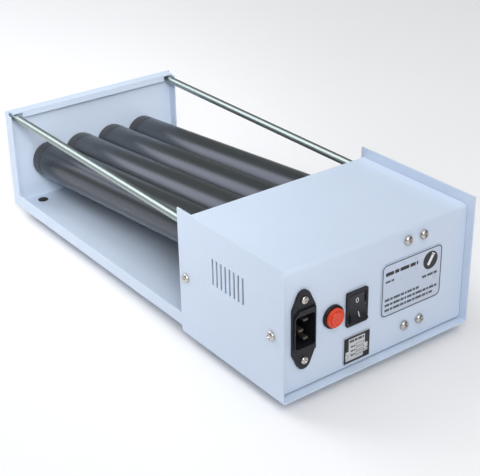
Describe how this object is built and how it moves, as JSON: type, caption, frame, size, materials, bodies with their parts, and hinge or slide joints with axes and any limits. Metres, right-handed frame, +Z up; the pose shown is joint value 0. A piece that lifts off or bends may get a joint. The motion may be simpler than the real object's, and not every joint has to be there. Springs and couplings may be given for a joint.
{
  "type": "tube roller mixer",
  "caption": "Bench mixer for sample tubes: geared sloping rollers in a sheet tray between an end plate and a drive housing with guard rods, mains inlet, button and rocker.",
  "frame": {"origin": "centre of the footprint, on the bench surface under the feet", "axes": "+X along the rollers from the end plate to the front panel, +Y across the tray away from the vented near cheek's inlet side, +Z up"},
  "size_m": [0.39, 0.1784, 0.1095],
  "materials": {
    "painted_sheet": "fine-textured satin powder coat",
    "zinc_plate": "zinc-plated sheet steel",
    "steel": "turned or nickel-plated steel",
    "bright_steel": "polished stainless steel",
    "aluminium": "satin",
    "brass": "machined",
    "roller_plastic": "satin dark grey plastic tube",
    "nylon": "natural nylon",
    "acetal": "black acetal",
    "black_plastic": "moulded, satin",
    "red_plastic": "moulded, gloss",
    "rubber": "matt moulded rubber"
  },
  "bodies": {
    "base": {"tray": "painted_sheet", "shell": "painted_sheet", "cover": "painted_sheet", "label_plate": "painted_sheet", "bulkhead": "painted_sheet", "motor_bracket": "zinc_plate", "guard_rod_1": "bright_steel", "guard_rod_2": "bright_steel", "pin_live": "bright_steel", "pin_neutral": "bright_steel", "pin_earth": "bright_steel", "motor_screw_1": "steel", "cheek_screw_1": "steel", "end_bush_1": "nylon", "drive_bush_1": "nylon", "foot_1": "rubber", "motor_screw_2": "steel", "cheek_screw_2": "steel", "end_bush_2": "nylon", "drive_bush_2": "nylon", "foot_2": "rubber", "motor_screw_3": "steel", "cheek_screw_3": "steel", "end_bush_3": "nylon", "drive_bush_3": "nylon", "foot_3": "rubber", "motor_screw_4": "steel", "cheek_screw_4": "steel", "end_bush_4": "nylon", "drive_bush_4": "nylon", "foot_4": "rubber", "gearbox": "aluminium", "serial_plate": "aluminium", "motor_can": "steel", "inlet_screw_1": "steel", "inlet_screw_2": "steel", "inlet_body": "black_plastic", "button_collar": "black_plastic", "rocker_body": "black_plastic"},
    "roller_1": {"roller_tube_1": "roller_plastic", "roller_core_1": "steel", "roller_gear_1": "nylon"},
    "roller_2": {"roller_tube_2": "roller_plastic", "roller_core_2": "steel", "roller_gear_2": "nylon"},
    "roller_3": {"roller_tube_3": "roller_plastic", "roller_core_3": "steel", "roller_gear_3": "nylon"},
    "roller_4": {"roller_tube_4": "roller_plastic", "roller_core_4": "steel", "roller_gear_4": "nylon"},
    "idler_1": {"idler_gear_1": "acetal"},
    "idler_2": {"idler_gear_2": "acetal"},
    "idler_3": {"idler_gear_3": "acetal"},
    "pinion": {"motor_pinion": "brass"},
    "rocker": {"rocker": "black_plastic"},
    "button": {"button_cap": "red_plastic"}
  },
  "joints": [
    {"name": "roller_1_spin", "type": "hinge", "parent": "base", "child": "roller_1", "pos_m": [-0.188, -0.0495, 0.0475], "axis": [0.9955, 0, 0.0946], "continuous": true},
    {"name": "roller_2_spin", "type": "hinge", "parent": "base", "child": "roller_2", "pos_m": [-0.188, -0.0165, 0.0475], "axis": [0.9955, 0, 0.0946], "continuous": true},
    {"name": "roller_3_spin", "type": "hinge", "parent": "base", "child": "roller_3", "pos_m": [-0.188, 0.0165, 0.0475], "axis": [0.9955, 0, 0.0946], "continuous": true},
    {"name": "roller_4_spin", "type": "hinge", "parent": "base", "child": "roller_4", "pos_m": [-0.188, 0.0495, 0.0475], "axis": [0.9955, 0, 0.0946], "continuous": true},
    {"name": "idler_1_spin", "type": "hinge", "parent": "base", "child": "idler_1", "pos_m": [0.09224, -0.033, 0.07412], "axis": [0.9955, 0, 0.0946], "continuous": true},
    {"name": "idler_2_spin", "type": "hinge", "parent": "base", "child": "idler_2", "pos_m": [0.09224, 0, 0.07412], "axis": [0.9955, 0, 0.0946], "continuous": true},
    {"name": "idler_3_spin", "type": "hinge", "parent": "base", "child": "idler_3", "pos_m": [0.09224, 0.033, 0.07412], "axis": [0.9955, 0, 0.0946], "continuous": true},
    {"name": "pinion_spin", "type": "hinge", "parent": "base", "child": "pinion", "pos_m": [0.09382, 0.036, 0.05746], "axis": [0.9955, 0, 0.0946], "continuous": true},
    {"name": "rocker_tilt", "type": "hinge", "parent": "base", "child": "rocker", "pos_m": [0.1888, -0.0182, 0.0565], "axis": [0, 1, 0], "range_deg": [0, 22]},
    {"name": "button_press", "type": "slide", "parent": "base", "child": "button", "axis": [-1, 0, 0], "range_m": [0, 0.0015], "stiffness_N_per_m": 400, "springref_m": -0.0005}
  ],
  "couplings": [
    {"joint": "roller_2_spin", "follows": "roller_1_spin", "ratio": 1},
    {"joint": "roller_3_spin", "follows": "roller_1_spin", "ratio": 1},
    {"joint": "roller_4_spin", "follows": "roller_1_spin", "ratio": 1},
    {"joint": "idler_1_spin", "follows": "roller_1_spin", "ratio": -1.0625},
    {"joint": "idler_2_spin", "follows": "roller_1_spin", "ratio": -1.0625},
    {"joint": "idler_3_spin", "follows": "roller_1_spin", "ratio": -1.0625},
    {"joint": "pinion_spin", "follows": "roller_1_spin", "ratio": 0.94444}
  ]
}
